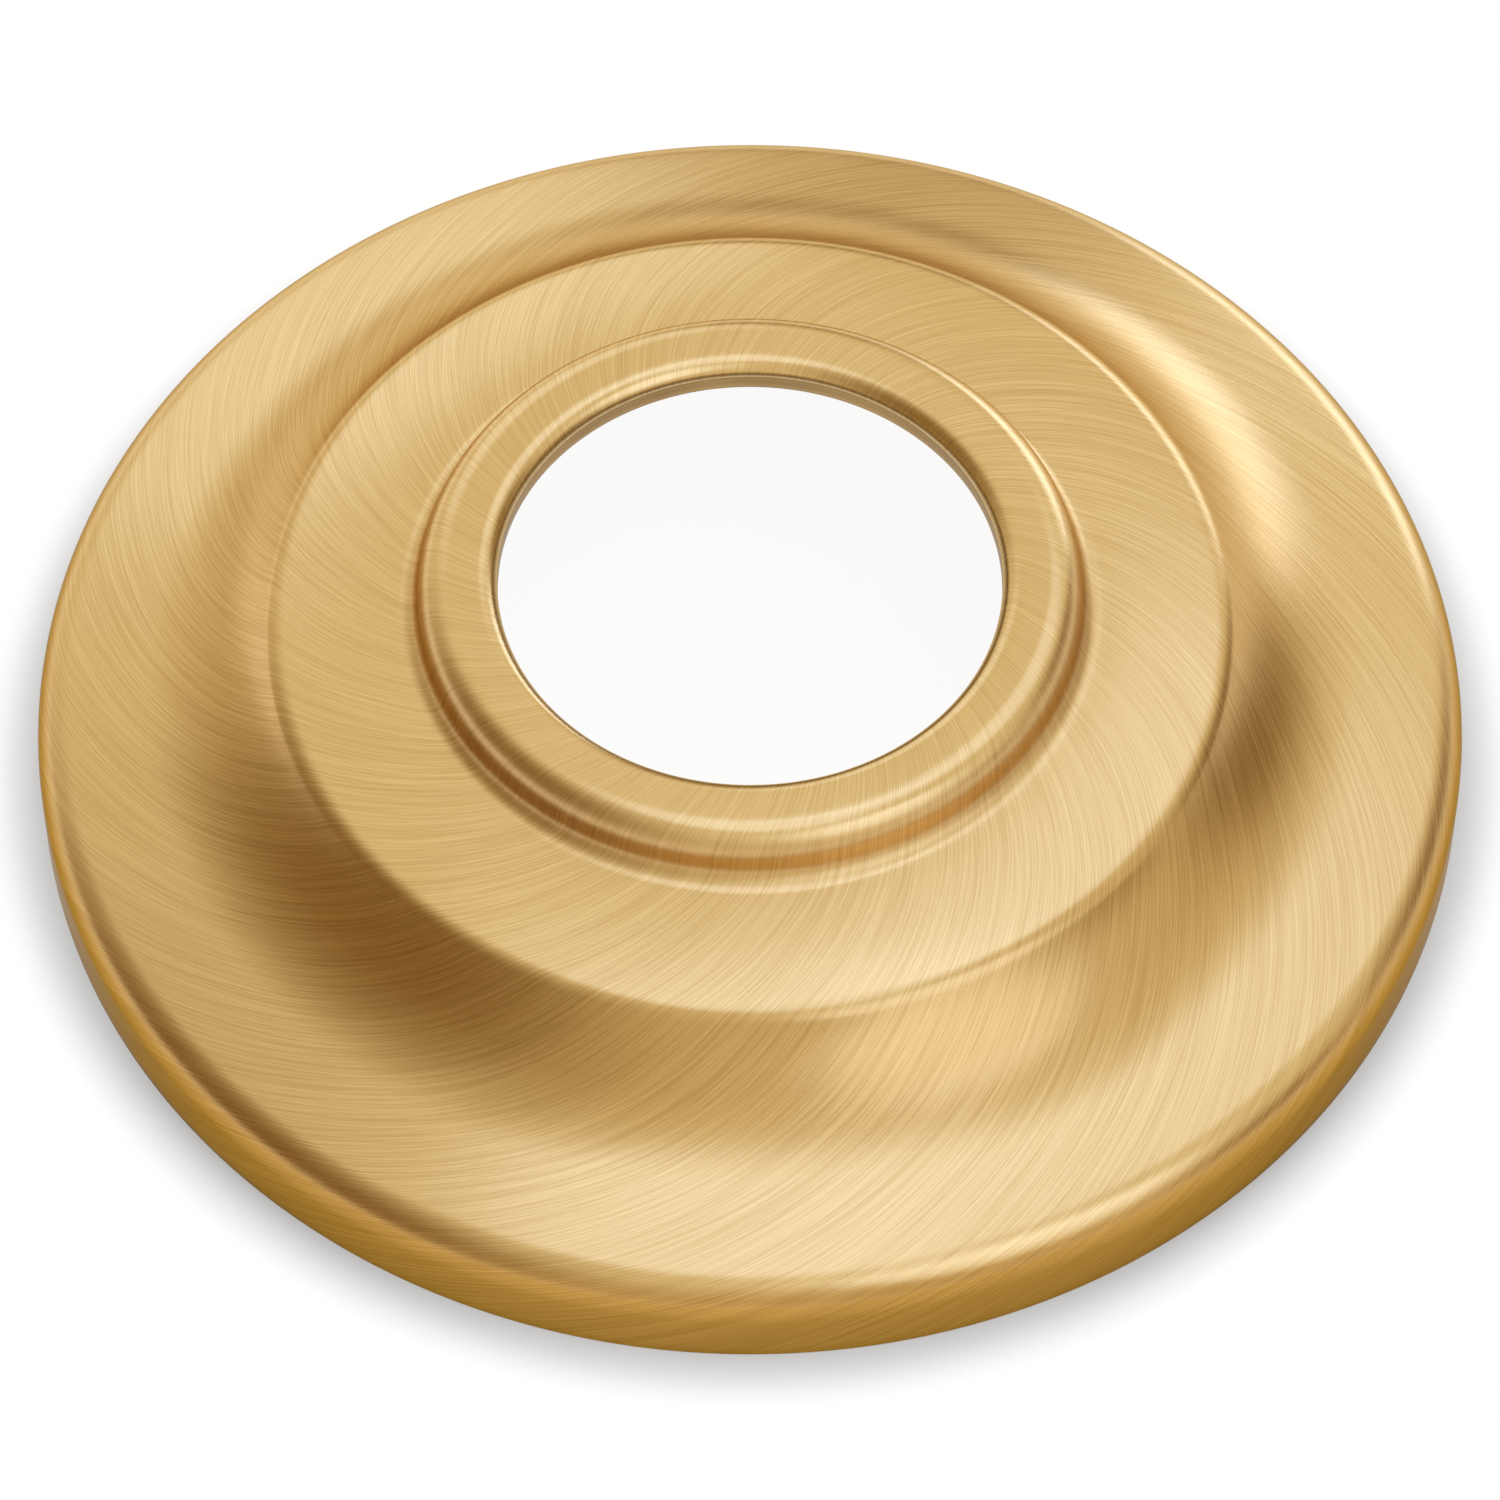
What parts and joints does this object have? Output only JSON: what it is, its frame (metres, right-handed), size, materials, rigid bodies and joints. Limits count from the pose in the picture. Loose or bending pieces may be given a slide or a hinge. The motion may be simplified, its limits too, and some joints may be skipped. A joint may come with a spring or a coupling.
{
  "type": "shower arm flange",
  "caption": "Round pressed sheet flange with a coved skirt, stepped collar and open bore, covers the wall hole round a shower arm.",
  "frame": {"origin": "centre of the rim's lower edge, in the plane that meets the wall", "axes": "+Z out of the wall along the shower arm; the part is round, so +X and +Y are free"},
  "size_m": [0.0636, 0.0636, 0.0132],
  "materials": {
    "brushed_gold": "warm gold, brushed in fine curved strokes that sweep out from the bore"
  },
  "bodies": {
    "root": {"flange": "brushed_gold"}
  },
  "joints": []
}
